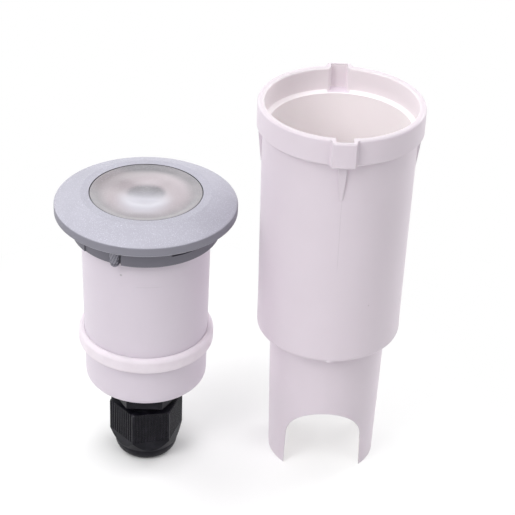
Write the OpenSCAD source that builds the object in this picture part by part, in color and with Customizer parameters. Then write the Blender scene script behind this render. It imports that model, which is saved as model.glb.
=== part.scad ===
// Recessed ground light and the mounting sleeve that it drops into, standing side by side.
// Millimetres, +Z up. The lamp stands on its cable gland at -X, the sleeve on its two legs at +X.
// The lamp is built from the gland upward, and from the housing outward: every ring that goes
// round the housing takes its radius from the ring inside it and a named clearance.

/* [Placement] */
// Gap between the trim ring's edge and the sleeve's collar, seen from above
side_gap = 5.45; // [3:0.05:60]
// How far the sleeve's axis stands behind the lamp's axis
sleeve_back = 4.8; // [0:0.2:12]

/* [Housing] */
// Outer diameter of the housing at its bottom end
housing_d = 44.7; // [42:0.1:60]
// How much wider in radius the housing is at its collar than at its bottom end
housing_draft = 0.7; // [0.2:0.1:1.5]
// Overall height of the housing
housing_h = 70.2; // [66:0.2:110]
// Wall between the housing's bore and its outside, at the bottom end
housing_wall = 2.3; // [1.4:0.1:2.6]
// Thickness of the housing's floor
housing_floor = 2.5; // [2:0.1:4]
// Radius of the housing's rounded bottom edge
housing_round = 3.5; // [1:0.1:4]
// Height of the threaded collar at the top of the housing
collar_h = 7.4; // [6.4:0.1:10]
// How far the collar stands proud of the tube below it
collar_step = 0.25; // [0.1:0.05:0.6]
// Depth of the thread on the collar
thread_depth = 0.5; // [0.3:0.05:0.8]
// Pitch of the thread on the collar, the rise of the trim ring in one turn
thread_pitch = 2; // [1.5:0.1:2.4]

/* [Centering band] */
// Height of the soft band that centres the lamp in its sleeve
band_h = 5.9; // [4:0.1:9]
// Height of the band's lower edge above the housing's bottom end
band_up = 16; // [10:0.2:40]
// How far the band stands proud of the housing
band_proud = 2.2; // [1.4:0.1:3]
// Depth of the groove that the band sits in
groove_depth = 0.45; // [0.2:0.05:0.8]
// Radius of the band's rounded edges
band_round = 1.5; // [0.4:0.1:2]

/* [Trim ring] */
// Wall of the ring's skirt around the thread
skirt_wall = 2.3; // [1.8:0.05:3]
// Height of the skirt below the flange
skirt_h = 8.05; // [7:0.05:8.4]
// How far the flange reaches out past the skirt
flange_over = 6.05; // [4:0.05:14]
// Height of the flange's upright edge
edge_h = 3.45; // [2:0.05:5]
// Rise of the sloping top from the edge to the flat land round the lens
cone_rise = 3.75; // [3.4:0.05:5]
// Width of the flat land round the lens
land_w = 3; // [1.5:0.1:5]
// Radius of the flange's top edge
edge_round = 0.8; // [0.3:0.1:1.4]
// Chamfer along the flange's lower edge
edge_chamfer = 0.35; // [0.1:0.05:0.8]
// Thickness of the lip that holds the lens down
lip_t = 2.45; // [1.6:0.05:2.8]
// Width of each ribbed grip post on the skirt
post_w = 3.1; // [2.6:0.1:4.4]
// How far a grip post stands out past the skirt
post_proud = 0.9; // [0.5:0.1:1.6]
// How far a grip post reaches below the skirt
post_drop = 0.8; // [0.2:0.1:1.4]
// Depth of the recessed panel beside each post
panel_depth = 0.5; // [0.3:0.1:1.2]
// Height of the slot's lower edge above the skirt's lower edge
slot_up = 3.6; // [1.5:0.1:4]
// Height of the slot under the flange
slot_h = 1; // [0.6:0.1:3]

/* [Lens] */
// Width of the ledge between the lens's pocket and the thread's bore
pocket_step = 1.6; // [0.8:0.1:4]
// Height of the part of the lens that stands inside the lip
lens_boss_h = 2.6; // [1.8:0.05:2.8]
// Thickness of the lens's rim under the lip
lens_rim_h = 2.9; // [2:0.05:4]
// Width of the lens's rim under the lip
lens_rim_w = 1.9; // [1.2:0.05:2.1]
// Radius of the round hollow in the middle of the lens
bowl_r = 11; // [6:0.1:13]
// Depth of the round hollow
bowl_depth = 2.7; // [1:0.1:3.2]
// Distance of the shallow groove's bottom from the lens's edge
groove_in = 3.1; // [2:0.1:5]
// Depth of the shallow groove
lens_groove_depth = 0.7; // [0.2:0.05:1.2]

/* [Lens gasket] */
// Thickness of the gasket between the lens and the housing
gasket_h = 1.6; // [1:0.1:2.4]
// Thickness of the gasket's wall round the lens's rim
gasket_wall = 0.45; // [0.3:0.05:0.6]
// Width of the gasket's seat under the lens's rim
gasket_seat_w = 1.4; // [1:0.1:1.7]

/* [Light engine] */
// Depth of the heat sink's seat below the top of the housing
engine_depth = 18.7; // [15:0.1:24]
// Thickness of the heat sink's disc
sink_t = 3; // [2:0.1:4]
// Length of the heat sink's fins below its disc
fin_h = 5; // [3:0.1:5.5]
// Thickness of one fin
fin_t = 1.2; // [0.8:0.1:1.6]
// Distance from one fin to the next
fin_pitch = 4.6; // [3.8:0.1:6]
// Gap between the fins and the bosses that carry the heat sink
fin_edge_gap = 1.3; // [0.5:0.1:4]
// Thickness of the thermal pad
pad_t = 0.4; // [0.3:0.05:1]
// Gap between the light board's edge and the heads of the heat sink's screws
board_edge_gap = 1.4; // [0.5:0.1:3]
// Thickness of that board
led_board_t = 1.6; // [1:0.1:2]
// Gap between one light chip and the next
chip_gap = 0.1; // [0.05:0.05:0.6]
// Height of one light chip
chip_h = 0.8; // [0.5:0.05:1.2]
// Gap between the reflector's foot and the heads of the board's screws
reflector_screw_gap = 1.2; // [0.4:0.1:2]
// Wall of the reflector
reflector_wall = 1; // [0.8:0.1:1.2]
// Distance of the board's screws from its edge
board_screw_in = 2.1; // [2:0.1:2.4]
// Distance from the board's edge to where the two lamp wires rise through it
wire_in = 2.8; // [2.6:0.1:3.4]

/* [Driver] */
// Height of the driver board above the housing's floor
driver_lift = 9; // [8:0.1:12]
// Gap between the driver board's upper edge and the heat sink's fins
driver_fin_gap = 2; // [0.5:0.1:5]
// Thickness of the driver board
driver_board_t = 1.6; // [1:0.1:2]
// Diameter of the capacitor
cap_d = 8; // [5:0.1:9]
// Diameter of the inductor's flanges
coil_d = 9; // [6:0.1:10]
// Height of the inductor
coil_h = 7.5; // [5:0.1:9]
// Width of one pole of the terminal block
pole_w = 5; // [4:0.1:5.2]
// Height of the terminal block along the board
terminal_h = 10; // [8:0.1:10.4]
// Depth of the terminal block out from the board
terminal_depth = 8.5; // [7:0.1:9]

/* [Gland] */
// Wall of the dome nut at the middle of its flats
nut_wall = 1.8; // [1.5:0.1:5]
// Height of the dome nut
nut_h = 22.2; // [21:0.1:26]
// Diameter over the gland's threads
gland_thread_d = 19.8; // [19:0.1:20.2]
// Pitch of the gland's threads, the rise of the dome nut in one turn
gland_pitch = 1.5; // [1:0.1:1.7]
// Gap between the loosely fitted dome nut and the body's hexagon
nut_gap = 2.3; // [1.9:0.1:4]
// How far the flats of the gland body's hexagon stand out past its thread
body_wall = 1.6; // [1.1:0.1:4]
// Height of the gland body's hexagon
body_hex_h = 7; // [4:0.1:9]
// Thickness of the washer between the gland and the housing
washer_t = 2; // [1:0.1:3]
// Diameter of the cable that the seal grips
cable_d = 9; // [6:0.1:10]
// Height of the lock nut inside the housing
lock_nut_h = 5; // [3:0.1:5.5]
// Wall of the lock nut at the middle of its flats
lock_nut_wall = 1.5; // [1.2:0.1:2.6]
// Distance from one grip rib of the dome nut to the next
nut_rib_pitch = 1.15; // [1:0.05:2]
// Depth of the grooves between the dome nut's ribs
nut_rib_depth = 0.3; // [0.1:0.05:0.4]
// Height at which the dome nut's ribs end
nut_rib_up = 9.5; // [8:0.1:12]

/* [Sleeve] */
// Overall height of the sleeve
sleeve_h = 146.4; // [138:0.2:200]
// Thickness of the floor under each channel that the grip posts slide into
channel_floor_t = 0.55; // [0.5:0.05:6]
// Wall of the collar round the mouth
rim_wall = 2.4; // [1.8:0.1:4]
// Depth of the two channels that the grip posts slide into
channel_depth = 3.4; // [1.8:0.1:4]
// Wall of the bump round each channel
bump_wall = 1.2; // [1:0.1:3]
// Width of the bump round each channel
bump_w = 8.3; // [7.4:0.1:14]
// Wall of the main tube just below the collar
tube_wall_top = 2.2; // [1.6:0.05:2.3]
// Wall of the main tube at its lower end
tube_wall_low = 1.3; // [1.2:0.05:1.6]
// Height of the leg tube, from the ground to the shoulder
leg_h = 55.2; // [48:0.2:66]
// Outer diameter of the leg tube at the shoulder
leg_top_d = 42.6; // [40:0.1:46]
// Outer diameter of the leg tube at the ground
leg_low_d = 39.9; // [38:0.1:42]
// Wall of the leg tube
leg_wall = 1.7; // [1.2:0.1:2.4]
// Thickness of the shoulder between the two tubes
shoulder_t = 2; // [1.4:0.1:3]
// Radius of the shoulder's outer edge
shoulder_round = 1.6; // [0.5:0.1:2.2]
// Width of each arch at the ground
arch_low_w = 28.6; // [24:0.2:32]
// Width of each arch where its round top starts
arch_w = 27.8; // [22:0.2:30]
// Height of each arch
arch_h = 28; // [20:0.2:44]
// Length of the tapered ribs below the collar
rib_len = 14; // [8:0.2:24]
// Width of a tapered rib at the collar
rib_top_w = 3.2; // [2:0.1:4]
// Width of a tapered rib at its lower end
rib_low_w = 1.2; // [1:0.1:2.4]
// Height of the straight stretch above the shoulder that fits a drilled hole
shank_h = 10; // [6:0.5:20]

/* [Fits] */
// Gap between the thread's crests and the ring's bore
thread_clearance = 0.3; // [0.2:0.05:0.5]
// Gap between two pieces that meet but move apart
seat_gap = 0.2; // [0.1:0.05:0.3]
// Gap round the lens where it shows
lens_gap = 0.2; // [0.1:0.05:0.4]
// Gap round the skirt in the sleeve's mouth
mouth_clearance = 0.3; // [0.3:0.05:1.5]
// Gap between the centering band and the sleeve's bore
bore_clearance = 0.2; // [0.1:0.05:0.8]
// Gap on each side of a grip post in its channel
channel_clearance = 1.4; // [0.3:0.05:1.8]
// Gap under the skirt when the flange rests on the sleeve
depth_clearance = 0.35; // [0.2:0.05:2]
// Gap round pieces that are fixed in the housing
fixed_gap = 0.05; // [0.02:0.01:0.1]

/* [Hidden] */
$fn = 96;

// Overrun of every cut past the face that it opens
cut = 1;
// Steps in a small rounded edge, in each stretch of the lens's relief and in the nut's dome
round_steps = 6;
relief_steps = 10;
dome_steps = 10;

// Heights of the lamp, from the ground up
hex_z = nut_h + nut_gap;
washer_z = hex_z + body_hex_h;
housing_z = washer_z + washer_t;
floor_z = housing_z + housing_floor;
housing_top = housing_z + housing_h;
gasket_z = housing_top + seat_gap;
lens_z = gasket_z + gasket_h;
lip_z = lens_z + lens_rim_h + seat_gap;
ring_top = lip_z + lip_t;
flange_z = ring_top - cone_rise - edge_h;
skirt_z = flange_z - skirt_h;
collar_z = housing_top - collar_h;
band_z = housing_z + band_up;
sink_z = housing_top - engine_depth;
pad_z = sink_z + sink_t;
led_board_z = pad_z + pad_t;
chips_z = led_board_z + led_board_t;
reflector_top = housing_top - thread_clearance;
driver_z = floor_z + driver_lift;
driver_top = sink_z - fin_h - driver_fin_gap;
driver_board_h = driver_top - driver_z;

// Radii of the lamp, from the inside out
housing_low_r = housing_d/2;
housing_high_r = housing_low_r + housing_draft;
housing_bore_r = housing_low_r - housing_wall;
root_r = housing_high_r + collar_step;
crest_r = root_r + thread_depth;
skirt_bore_r = crest_r + thread_clearance;
skirt_r = skirt_bore_r + skirt_wall;
flange_r = skirt_r + flange_over;
pocket_r = skirt_bore_r - pocket_step;
gasket_r = pocket_r - seat_gap;
lens_rim_r = gasket_r - gasket_wall - fixed_gap;
lens_r = lens_rim_r - lens_rim_w;
open_r = lens_r + lens_gap;
groove_r = lens_r - groove_in;
band_r = housing_low_r + band_proud + housing_draft*(band_up + band_h)/housing_h;

// Places inside the housing
sink_r = housing_bore_r - 2*seat_gap;
boss_r = 2.4;
boss_ring_r = housing_bore_r - boss_r + fixed_gap;
boss_turns = [30, 150, 270];
board_screw_turns = [90, 210, 330];
screw_r = 1.2;
screw_head_r = 1.9;
screw_head_h = 1.2;
fin_r = boss_ring_r - boss_r - fin_edge_gap;
led_board_r = boss_ring_r - screw_head_r - board_edge_gap;
board_screw_ring_r = led_board_r - board_screw_in;
wire_ring_r = led_board_r - wire_in;
reflector_low_r = board_screw_ring_r - screw_head_r - reflector_screw_gap - reflector_wall;
chip_w_share = 16/41;
chip_w = reflector_low_r*chip_w_share;
screw_slot_w = 0.6;
screw_slot_depth = 0.5;
board_screw_len = 3.6;
sink_screw_len = 9;
pilot_depth = 8;
wire_r = 0.65;
wire_hole_r = 1.2;
wire_bend_r = 0.9;
wire_end_h = 0.5;
rail_w = 4.8;
rail_depth = 2.8;
rail_slot_depth = 1.5;
driver_half_w = housing_bore_r - rail_depth + rail_slot_depth - fixed_gap;

// Places of the pieces on the driver board. The capacitor and the inductor share the room above
// the terminal block, and the chips behind take shares of the board's height.
part_gap = 0.1;
room_h = driver_board_h - terminal_h;
cap_up_share = 4/23;
cap_h_share = 13/23;
coil_up_share = 12/23;
ic_up_share = 2/3;
bridge_up_share = 4/11;
resistor_up_share = 9/11;
cap_x_share = 0.45;
coil_x_share = 0.39;
cap_x = -housing_bore_r*cap_x_share;
cap_h = room_h*cap_h_share;
cap_up = terminal_h + room_h*cap_up_share;
cap_groove = 0.35;
cap_groove_h = 1;
coil_x = housing_bore_r*coil_x_share;
coil_up = terminal_h + room_h*coil_up_share;
coil_flange_h = 1.2;
coil_core_r = 2.2;
coil_wind_gap = 0.4;
ic_size = [5, 1.6, 4];
bridge_size = [4.8, 1.5, 4];
resistor_size = [1.6, 0.6, 3.2];
resistor_pitch = 3.4;
pole_count = 3;
entry_r = 1.7;
entry_depth = 6;
terminal_screw_r = 1.6;
terminal_screw_depth = 2;

// Gland
thread_depth_share = 0.55;
gland_thread_r = gland_thread_d/2;
gland_root_r = gland_thread_r - gland_pitch*thread_depth_share;
gland_wall = 1.375;
neck_step = 0.9;
gland_bore_r = gland_root_r - gland_wall;
gland_neck_r = gland_bore_r - neck_step;
claw_relief = 0.6;
claw_taper = 0.9;
claw_r = gland_thread_r - claw_relief;
claw_tip_r = claw_r - claw_taper;
body_af = 2*(gland_thread_r + body_wall);
lock_nut_af = 2*(gland_thread_r + lock_nut_wall);
nut_bore_r = gland_thread_r + thread_clearance;
nut_af = 2*(nut_bore_r + nut_wall);
nut_corner_r = nut_af/sqrt(3);
nut_turn = 12;
nut_mouth_step = 0.3;
nut_seat_step = 0.1;
nut_foot_w = 2.1;
nut_mouth_r = gland_neck_r - nut_mouth_step;
nut_seat_r = claw_tip_r - nut_seat_step;
nut_foot_r = nut_mouth_r + nut_foot_w;
nut_lip_t = 1.5;
nut_shoulder_z = 4.7;
nut_flat_round = 0.2;
nut_shoulder_r = nut_af/2 - nut_flat_round;
nut_chamfer_z = 9.1;
nut_top_chamfer = 0.8;
gland_tail_over = 1.5;
gland_tail_h = lock_nut_h + housing_floor + washer_t + gland_tail_over;
claw_z = 7.6;
claw_root_z = 13.5;
claw_slot_w = 1.2;
claw_count = 8;
seal_r = gland_bore_r - thread_clearance;
seal_head_r = seal_r + thread_clearance;
seal_z = nut_lip_t + seat_gap;
seal_head_h = 3.9;
seal_h = 15.3;
seal_bore_r = cable_d/2;
hole_gap = 0.2;

// Grip posts, panels and slots on the skirt, each twice, half a turn apart. A panel ends a little
// below the flange.
post_turn = -111.1;
post_r = post_w/2;
panel_span = 26;
slot_turn = -66.5;
slot_span = 24;
panel_top_w = 0.3;
post_gap_w = 1;
post_gap_depth = 1.3;
post_tip_h = 0.7;
skirt_round = 0.35;

// Sleeve
mouth_r = skirt_r + mouth_clearance;
rim_r = mouth_r + rim_wall;
rim_h = skirt_h + post_drop + seat_gap + channel_floor_t;
bore_r = band_r + bore_clearance;
tube_top_r = bore_r + tube_wall_top;
tube_low_r = bore_r + tube_wall_low;
leg_top_r = leg_top_d/2;
leg_low_r = leg_low_d/2;
rim_z = sleeve_h - rim_h;
ledge_z = sleeve_h - skirt_h - depth_clearance;
channel_z = sleeve_h - skirt_h - post_drop - seat_gap;
ledge_fall = 0.8;
rim_round = 0.8;
rim_under_chamfer = 0.5;
channel_half_w = post_r + channel_clearance;
channel_r = mouth_r + channel_depth;
bump_r = channel_r + bump_wall;
bump_fillet = 1;
bump_corner = 0.9;
bump_sink = 0.02;
channel_fillet = 1.4;
channel_corner = 0.5;
nib_r = 2.1;
nib_tip_r = 0.8;
nib_drop = 1;

// Origin at the middle of the footprint of the two together
axis_gap = flange_r + side_gap + rim_r;
lamp_x = -(axis_gap + rim_r - flange_r)/2;
lamp_y = -(sleeve_back + bump_r - flange_r)/2;
sleeve_x = lamp_x + axis_gap;
sleeve_y = lamp_y + sleeve_back;

// Points of an arc round c, from angle a0 to angle a1
function arc(c, r, a0, a1, steps = round_steps) =
    [for (i = [0:steps]) c + r*[cos(a0 + (a1 - a0)*i/steps), sin(a0 + (a1 - a0)*i/steps)]];

// Radius of the housing's tapered outside at height z
function housing_r(z) = housing_low_r + housing_draft*(z - housing_z)/(collar_z - housing_z);

// Ridges of a thread from height z0 up, drawn as rings of one pitch each
function ridges(z0, count, pitch, root, crest) =
    [for (i = [0:count - 1], p = [[root, 0], [crest, pitch/4], [crest, pitch/2], [root, 3*pitch/4]])
        [p[0], z0 + i*pitch + p[1]]];

// Half of a lug that grows out of a circle: a fillet off the circle, then a rounded corner
function lug_half(base_r, end_r, half_w, fillet, corner) =
    let (y = sqrt(pow(base_r + fillet, 2) - pow(half_w + fillet, 2)))
    concat(
        arc([half_w + fillet, y], fillet, 180 + atan2(y, half_w + fillet), 180),
        arc([half_w - corner, end_r - corner], corner, 0, 90));

// Outline of a whole lug that points along +Y, with its root at the centre of the circle
module lug_outline(base_r, end_r, half_w, fillet, corner) {
    half = lug_half(base_r, end_r, half_w, fillet, corner);
    last = len(half) - 1;
    polygon(concat([[0, 0]], half, [for (i = [last:-1:0]) [-half[i][0], half[i][1]]]));
}

module lamp_place() {
    translate([lamp_x, lamp_y, 0]) children();
}

// Sector of a ring between two angles
module sector(r0, r1, z0, h, a0, span) {
    rotate([0, 0, a0])
        rotate_extrude(angle = span)
            translate([r0, z0])
                square([r1 - r0, h]);
}

module hexagon(af, h) {
    cylinder(r = af/sqrt(3), h = h, $fn = 6);
}

// Screw with a slotted head, standing with the underside of its head at z = 0
module screw(r, len, head_r, head_h) {
    difference() {
        union() {
            translate([0, 0, -len]) cylinder(r = r, h = len);
            cylinder(r = head_r, h = head_h);
        }
        translate([-head_r - cut, -screw_slot_w/2, head_h - screw_slot_depth])
            cube([2*(head_r + cut), screw_slot_w, screw_slot_depth + cut]);
    }
}

// Outside of the sleeve as one solid of revolution
module sleeve_outside() {
    rotate_extrude()
        polygon(concat(
            [[0, 0], [leg_low_r, 0], [leg_top_r, leg_h]],
            arc([tube_low_r - shoulder_round, leg_h + shoulder_round], shoulder_round, -90, 0),
            [[tube_low_r, leg_h + shoulder_round + shank_h], [tube_top_r, rim_z]],
            [[rim_r - rim_under_chamfer, rim_z], [rim_r, rim_z + rim_under_chamfer]],
            arc([rim_r - rim_round, sleeve_h - rim_round], rim_round, 0, 90),
            [[0, sleeve_h]]));
}

// Everything that is hollow in the sleeve: mouth, ledge, main bore and leg tube
module sleeve_inside() {
    rotate_extrude()
        polygon(concat(
            [[0, -cut], [leg_low_r - leg_wall, -cut], [leg_low_r - leg_wall, 0]],
            [[leg_top_r - leg_wall, leg_h], [leg_top_r - leg_wall, leg_h + shoulder_t]],
            [[bore_r, leg_h + shoulder_t], [bore_r, ledge_z - ledge_fall], [mouth_r, ledge_z]],
            arc([mouth_r + rim_round, sleeve_h - rim_round], rim_round, 180, 90),
            [[mouth_r + rim_round, sleeve_h + cut], [0, sleeve_h + cut]]));
}

module sleeve_bump() {
    intersection() {
        translate([0, 0, rim_z])
            linear_extrude(rim_h)
                lug_outline(rim_r - bump_sink, bump_r, bump_w/2, bump_fillet, bump_corner);
        rotate_extrude()
            polygon(concat(
                [[0, rim_z], [bump_r - rim_under_chamfer, rim_z], [bump_r, rim_z + rim_under_chamfer]],
                arc([bump_r - rim_round, sleeve_h - rim_round], rim_round, 0, 90),
                [[0, sleeve_h]]));
    }
}

// Wedge under the collar, narrower and shallower toward its lower end
module sleeve_rib() {
    intersection() {
        rotate([90, 0, 0])
            translate([0, 0, -rib_top_w/2])
                linear_extrude(rib_top_w)
                    polygon([[bore_r, rim_z - rib_len], [tube_top_r, rim_z - rib_len],
                        [rim_r - rim_under_chamfer, rim_z], [bore_r, rim_z]]);
        rotate([90, 0, 90])
            linear_extrude(rim_r)
                polygon([[-rib_low_w/2, rim_z - rib_len], [rib_low_w/2, rim_z - rib_len],
                    [rib_top_w/2, rim_z], [-rib_top_w/2, rim_z]]);
    }
}

// Round-topped gap through the front and back of the leg tube
module sleeve_arch() {
    rotate([90, 0, 0])
        translate([0, 0, -leg_top_r - cut])
            linear_extrude(2*(leg_top_r + cut)) {
                translate([0, arch_h - arch_w/2])
                    circle(d = arch_w);
                polygon([[-arch_low_w/2, 0], [-arch_low_w/2, -cut], [arch_low_w/2, -cut],
                    [arch_low_w/2, 0], [arch_w/2, arch_h - arch_w/2], [-arch_w/2, arch_h - arch_w/2]]);
            }
}

module mounting_sleeve() {
    color([0.90, 0.87, 0.89])
        translate([sleeve_x, sleeve_y, 0])
            difference() {
                union() {
                    sleeve_outside();
                    for (a = [0, 180])
                        rotate([0, 0, a]) sleeve_bump();
                    for (a = [0:90:270])
                        rotate([0, 0, a]) sleeve_rib();
                    translate([0, nib_r - tube_low_r, leg_h - nib_drop])
                        cylinder(r1 = nib_tip_r, r2 = nib_r, h = nib_drop);
                    translate([0, nib_r - tube_low_r, leg_h])
                        cylinder(r = nib_r, h = shoulder_t);
                }
                sleeve_inside();
                for (a = [0, 180])
                    rotate([0, 0, a])
                        translate([0, 0, channel_z])
                            linear_extrude(sleeve_h - channel_z + cut)
                                lug_outline(mouth_r, channel_r, channel_half_w, channel_fillet,
                                    channel_corner);
                sleeve_arch();
            }
}

// Slope of the ring's top, and centre of the arc that rounds its outer edge
cone_slope = atan(cone_rise/(flange_r - open_r - land_w));
edge_arc_z = flange_z + edge_h + edge_round*tan(cone_slope) - edge_round/cos(cone_slope);

module trim_ring_body() {
    rotate_extrude()
        polygon(concat(
            [[open_r, lip_z], [open_r, ring_top], [open_r + land_w, ring_top]],
            arc([flange_r - edge_round, edge_arc_z], edge_round, 90 - cone_slope, 0),
            [[flange_r, flange_z + edge_chamfer], [flange_r - edge_chamfer, flange_z], [skirt_r, flange_z]],
            arc([skirt_r - skirt_round, skirt_z + skirt_round], skirt_round, 0, -90),
            [[skirt_bore_r, skirt_z], [skirt_bore_r, gasket_z], [pocket_r, gasket_z], [pocket_r, lip_z]]));
}

// Upright post with a tapered foot, half sunk in the skirt
module grip_post() {
    translate([skirt_r + post_proud - post_r, 0, skirt_z - post_drop]) {
        translate([0, 0, post_tip_h])
            cylinder(r = post_r, h = flange_z - skirt_z + post_drop - post_tip_h + edge_h/2);
        cylinder(r1 = post_r - post_tip_h, r2 = post_r, h = post_tip_h);
    }
}

module trim_ring() {
    // Angle that half a post takes up on the skirt, and that of the narrow gap beside it
    post_half = asin(post_r/skirt_r);
    gap_span = 2*asin(post_gap_w/2/skirt_r);
    color([0.72, 0.73, 0.76])
        lamp_place()
            difference() {
                union() {
                    difference() {
                        trim_ring_body();
                        for (half = [0, 180])
                            rotate([0, 0, half]) {
                                sector(skirt_r - panel_depth, skirt_r + cut, skirt_z - cut,
                                    skirt_h + cut - panel_top_w, post_turn - post_half - panel_span,
                                    panel_span + post_half);
                                sector(skirt_r - post_gap_depth, skirt_r + cut, skirt_z - cut,
                                    skirt_h + cut - panel_top_w, post_turn, post_half + gap_span);
                                sector(skirt_bore_r - cut, flange_r, skirt_z + slot_up, slot_h,
                                    slot_turn, slot_span);
                            }
                    }
                    for (half = [0, 180])
                        rotate([0, 0, post_turn + half]) grip_post();
                }
                // The posts stay outside the bore
                translate([0, 0, skirt_z - post_drop - cut])
                    cylinder(r = skirt_bore_r, h = gasket_z - skirt_z + post_drop + cut);
            }
}

// Height of the lens's face at radius r, below its highest level
function lens_fall(r) =
    r < bowl_r ? bowl_depth*(1 + cos(180*r/bowl_r))/2
    : r < groove_r ? lens_groove_depth*(1 - cos(180*(r - bowl_r)/(groove_r - bowl_r)))/2
    : lens_groove_depth*(1 + cos(180*(r - groove_r)/(lens_r - groove_r)))/2;

module lens() {
    top = lens_z + lens_rim_h + lens_boss_h;
    stops = [0, bowl_r, groove_r, lens_r];
    face = [for (s = [2:-1:0], i = [relief_steps:-1:(s == 0 ? 0 : 1)])
        let (r = stops[s] + (stops[s + 1] - stops[s])*i/relief_steps) [r, top - lens_fall(r)]];
    color([0.86, 0.84, 0.85, 0.9])
        lamp_place()
            rotate_extrude()
                polygon(concat(
                    [[0, lens_z], [lens_rim_r, lens_z], [lens_rim_r, lens_z + lens_rim_h]],
                    [[lens_r, lens_z + lens_rim_h]], face));
}

module lens_gasket() {
    inner_r = lens_rim_r - gasket_seat_w;
    wall_r = lens_rim_r + fixed_gap;
    wall_top = lens_z + lens_rim_h - seat_gap;
    color([0.25, 0.25, 0.27])
        lamp_place()
            rotate_extrude()
                polygon([[inner_r, gasket_z], [gasket_r, gasket_z], [gasket_r, wall_top],
                    [wall_r, wall_top], [wall_r, lens_z], [inner_r, lens_z]]);
}

module reflector() {
    top_r = housing_bore_r - thread_clearance;
    rim = reflector_wall;
    color([0.95, 0.95, 0.95])
        lamp_place()
            rotate_extrude()
                polygon([[reflector_low_r, chips_z], [reflector_low_r + rim, chips_z],
                    [top_r - rim/2, reflector_top - rim], [top_r, reflector_top - rim],
                    [top_r, reflector_top], [top_r - 3*rim/2, reflector_top]]);
}

module led_board() {
    color([0.9, 0.9, 0.88])
        lamp_place()
            translate([0, 0, led_board_z])
                difference() {
                    cylinder(r = led_board_r, h = led_board_t);
                    for (a = board_screw_turns)
                        rotate([0, 0, a])
                            translate([board_screw_ring_r, 0, -cut])
                                cylinder(r = screw_r + fixed_gap, h = led_board_t + 2*cut);
                    for (s = [-1, 1])
                        translate([s*wire_ring_r, 0, -cut])
                            cylinder(r = wire_hole_r, h = led_board_t + 2*cut);
                }
}

module led_chips() {
    step = chip_w + chip_gap;
    places = [[0, 0], [step, step], [-step, step], [-step, -step], [step, -step]];
    color([0.98, 0.9, 0.45])
        lamp_place()
            for (p = places)
                translate([p[0] - chip_w/2, p[1] - chip_w/2, chips_z])
                    cube([chip_w, chip_w, chip_h]);
}

module board_screws() {
    color([0.75, 0.75, 0.77])
        lamp_place()
            for (a = board_screw_turns)
                rotate([0, 0, a])
                    translate([board_screw_ring_r, 0, chips_z])
                        screw(screw_r, board_screw_len, screw_head_r, screw_head_h);
}

module thermal_pad() {
    color([0.55, 0.68, 0.8])
        lamp_place()
            translate([0, 0, pad_z])
                difference() {
                    cylinder(r = led_board_r, h = pad_t);
                    for (a = board_screw_turns)
                        rotate([0, 0, a])
                            translate([board_screw_ring_r, 0, -cut])
                                cylinder(r = screw_r + fixed_gap, h = pad_t + 2*cut);
                    for (s = [-1, 1])
                        translate([s*wire_ring_r, 0, -cut])
                            cylinder(r = wire_hole_r, h = pad_t + 2*cut);
                }
}

module heat_sink() {
    fin_side = floor(fin_r/fin_pitch - 1/2);
    color([0.78, 0.79, 0.8])
        lamp_place()
            difference() {
                union() {
                    translate([0, 0, sink_z])
                        cylinder(r = sink_r, h = sink_t);
                    intersection() {
                        translate([0, 0, sink_z - fin_h])
                            cylinder(r = fin_r, h = fin_h + sink_t/2);
                        for (i = [0:fin_side], s = [-1, 1])
                            translate([-fin_r, s*(i + 1/2)*fin_pitch - fin_t/2, sink_z - fin_h])
                                cube([2*fin_r, fin_t, fin_h + sink_t/2]);
                    }
                }
                for (a = board_screw_turns)
                    rotate([0, 0, a])
                        translate([board_screw_ring_r, 0, chips_z - board_screw_len - seat_gap])
                            cylinder(r = screw_r + fixed_gap, h = board_screw_len + cut);
                for (a = boss_turns)
                    rotate([0, 0, a])
                        translate([boss_ring_r, 0, sink_z - cut])
                            cylinder(r = screw_r + fixed_gap, h = sink_t + 2*cut);
                for (s = [-1, 1])
                    translate([s*wire_ring_r, 0, sink_z - fin_h - cut])
                        cylinder(r = wire_hole_r, h = fin_h + sink_t + 2*cut);
            }
}

module sink_screws() {
    color([0.72, 0.72, 0.74])
        lamp_place()
            for (a = boss_turns)
                rotate([0, 0, a])
                    translate([boss_ring_r, 0, pad_z])
                        screw(screw_r, sink_screw_len, screw_head_r, screw_head_h);
}

// Wire that rises from the driver board, turns over and ends on the light board
module led_wire(side) {
    bend_z = chips_z + wire_end_h;
    mirror([side < 0 ? 1 : 0, 0, 0]) {
        translate([wire_ring_r, 0, driver_top])
            cylinder(r = wire_r, h = bend_z - driver_top);
        translate([wire_ring_r + wire_bend_r, 0, bend_z])
            rotate([90, 0, 0])
                rotate_extrude(angle = 180)
                    translate([wire_bend_r, 0])
                        circle(r = wire_r);
        translate([wire_ring_r + 2*wire_bend_r, 0, chips_z])
            cylinder(r = wire_r, h = wire_end_h);
    }
}

module led_wire_red() {
    color([0.75, 0.1, 0.1])
        lamp_place()
            led_wire(1);
}

module led_wire_black() {
    color([0.1, 0.1, 0.1])
        lamp_place()
            led_wire(-1);
}

module driver_board() {
    color([0.1, 0.4, 0.2])
        lamp_place()
            translate([-driver_half_w, -driver_board_t/2, driver_z])
                cube([2*driver_half_w, driver_board_t, driver_board_h]);
}

module driver_capacitor() {
    r = cap_d/2;
    color([0.12, 0.12, 0.2])
        lamp_place()
            translate([cap_x, -driver_board_t/2 - part_gap - r, driver_z + cap_up])
                rotate_extrude()
                    polygon([[0, 0], [r, 0], [r, cap_groove_h], [r - cap_groove, cap_groove_h + cap_groove],
                        [r, cap_groove_h + 2*cap_groove], [r, cap_h], [0, cap_h]]);
}

// The inductor lies with its axis square to the board
module coil_place() {
    translate([coil_x, -driver_board_t/2 - part_gap, driver_z + coil_up])
        rotate([90, 0, 0])
            children();
}

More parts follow.
